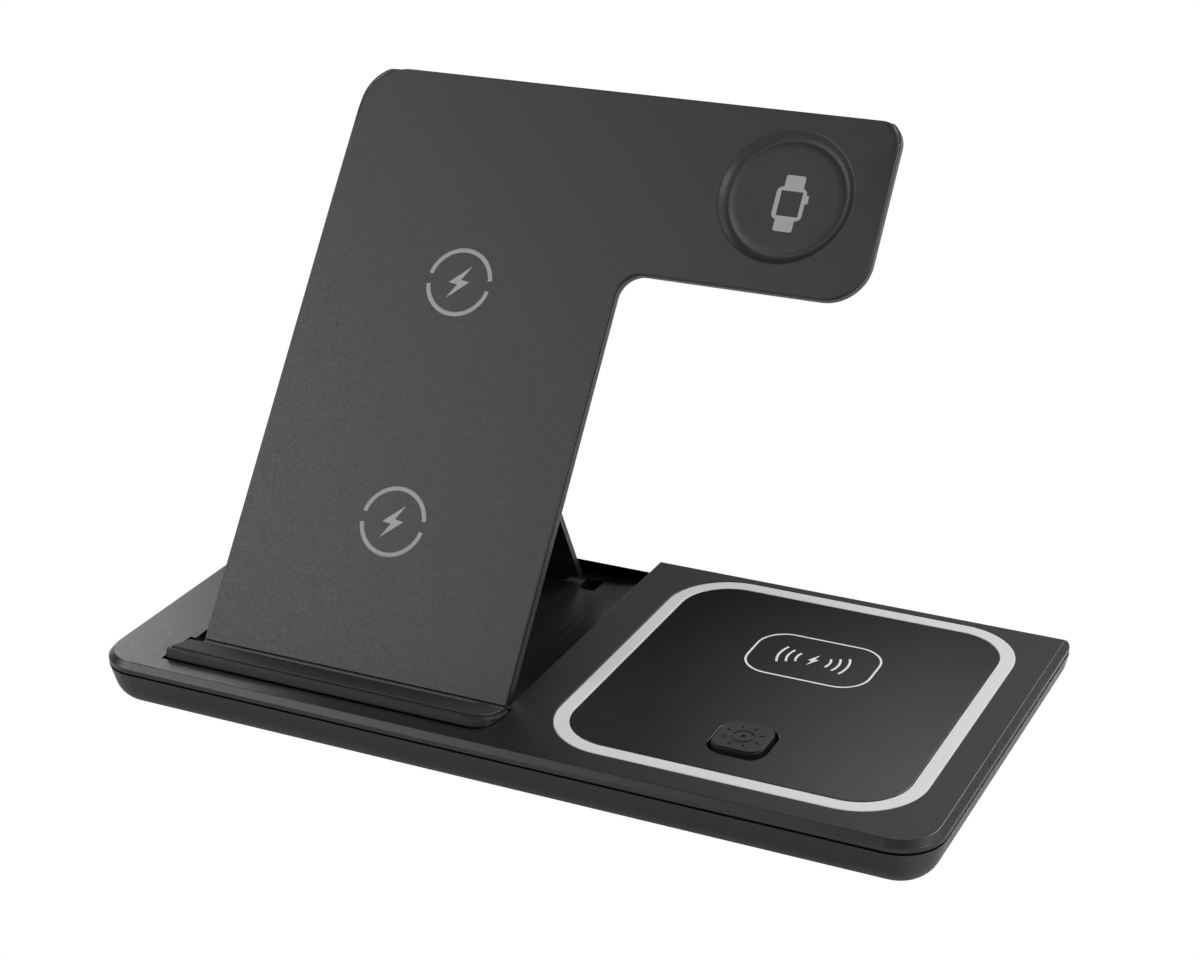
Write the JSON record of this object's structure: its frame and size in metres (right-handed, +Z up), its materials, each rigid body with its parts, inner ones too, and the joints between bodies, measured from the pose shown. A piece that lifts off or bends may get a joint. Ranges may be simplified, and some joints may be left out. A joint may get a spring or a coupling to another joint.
{
  "type": "charging station",
  "caption": "Folding charging stand: a low base with an earbud pad in a light ring, and an L-shaped phone and watch panel on a support leg.",
  "frame": {"origin": "under the middle of the whole stand as it is set up, at the bottom of the rubber feet", "axes": "+X to the right seen from the front, -Y towards the user, +Z up"},
  "size_m": [0.18, 0.0974, 0.1144],
  "materials": {
    "cover_top": "matte, fine grain",
    "cover_bottom": "matte, fine grain",
    "ring": "translucent white diffuser",
    "board": "solder mask",
    "pad": "high gloss",
    "copper": "enamelled copper wire",
    "ferrite": "pressed ferrite sheet",
    "chips": "moulded",
    "steel": "satin",
    "button": "satin",
    "rubber": "matte",
    "screw": "blackened steel",
    "ledge": "matte",
    "panel_front": "matte, fine grain",
    "panel_back": "matte, fine grain",
    "leg": "matte"
  },
  "bodies": {
    "base": {"base_top_cover": "cover_top", "base_bottom_cover": "cover_bottom", "light_ring": "ring", "ring_lamp_board": "board", "pad_face": "pad", "earbud_coil": "copper", "earbud_coil_shield": "ferrite", "main_board": "board", "board_chips": "chips", "usb_c_socket": "steel", "button_switch": "steel", "rubber_feet": "rubber", "case_screws": "screw", "panel_hinge_pin": "steel", "ledge_pin": "steel"},
    "button": {"light_button": "button", "switch_plunger": "rubber"},
    "ledge": {"ledge_tray": "ledge", "ledge_pad": "rubber"},
    "panel": {"panel_front_cover": "panel_front", "panel_back_cover": "panel_back", "phone_coil_lower": "copper", "phone_coil_upper": "copper", "phone_shield_lower": "ferrite", "phone_shield_upper": "ferrite", "watch_coil": "copper", "watch_shield": "ferrite", "panel_board": "board", "panel_screws": "screw", "leg_pin": "steel"},
    "leg": {"support_leg": "leg"}
  },
  "joints": [
    {"name": "panel_fold", "type": "hinge", "parent": "base", "child": "panel", "pos_m": [-0.0383, -0.03048, 0.0095], "axis": [1, 0, 0], "range_deg": [-53.1, 0]},
    {"name": "ledge_tilt", "type": "hinge", "parent": "base", "child": "ledge", "pos_m": [-0.0383, -0.0342, 0.0105], "axis": [1, 0, 0], "range_deg": [0, 14]},
    {"name": "leg_fold", "type": "hinge", "parent": "panel", "child": "leg", "pos_m": [-0.0383, 0.00855, 0.05898], "axis": [1, 0, 0], "range_deg": [0, 116.22]},
    {"name": "light_button_press", "type": "slide", "parent": "base", "child": "button", "axis": [0, 0, -1], "range_m": [0, 0.0004], "stiffness_N_per_m": 600}
  ],
  "couplings": [
    {"joint": "ledge_tilt", "follows": "panel_fold", "ratio": -0.26365},
    {"joint": "leg_fold", "follows": "panel_fold", "ratio": -2.1887}
  ]
}
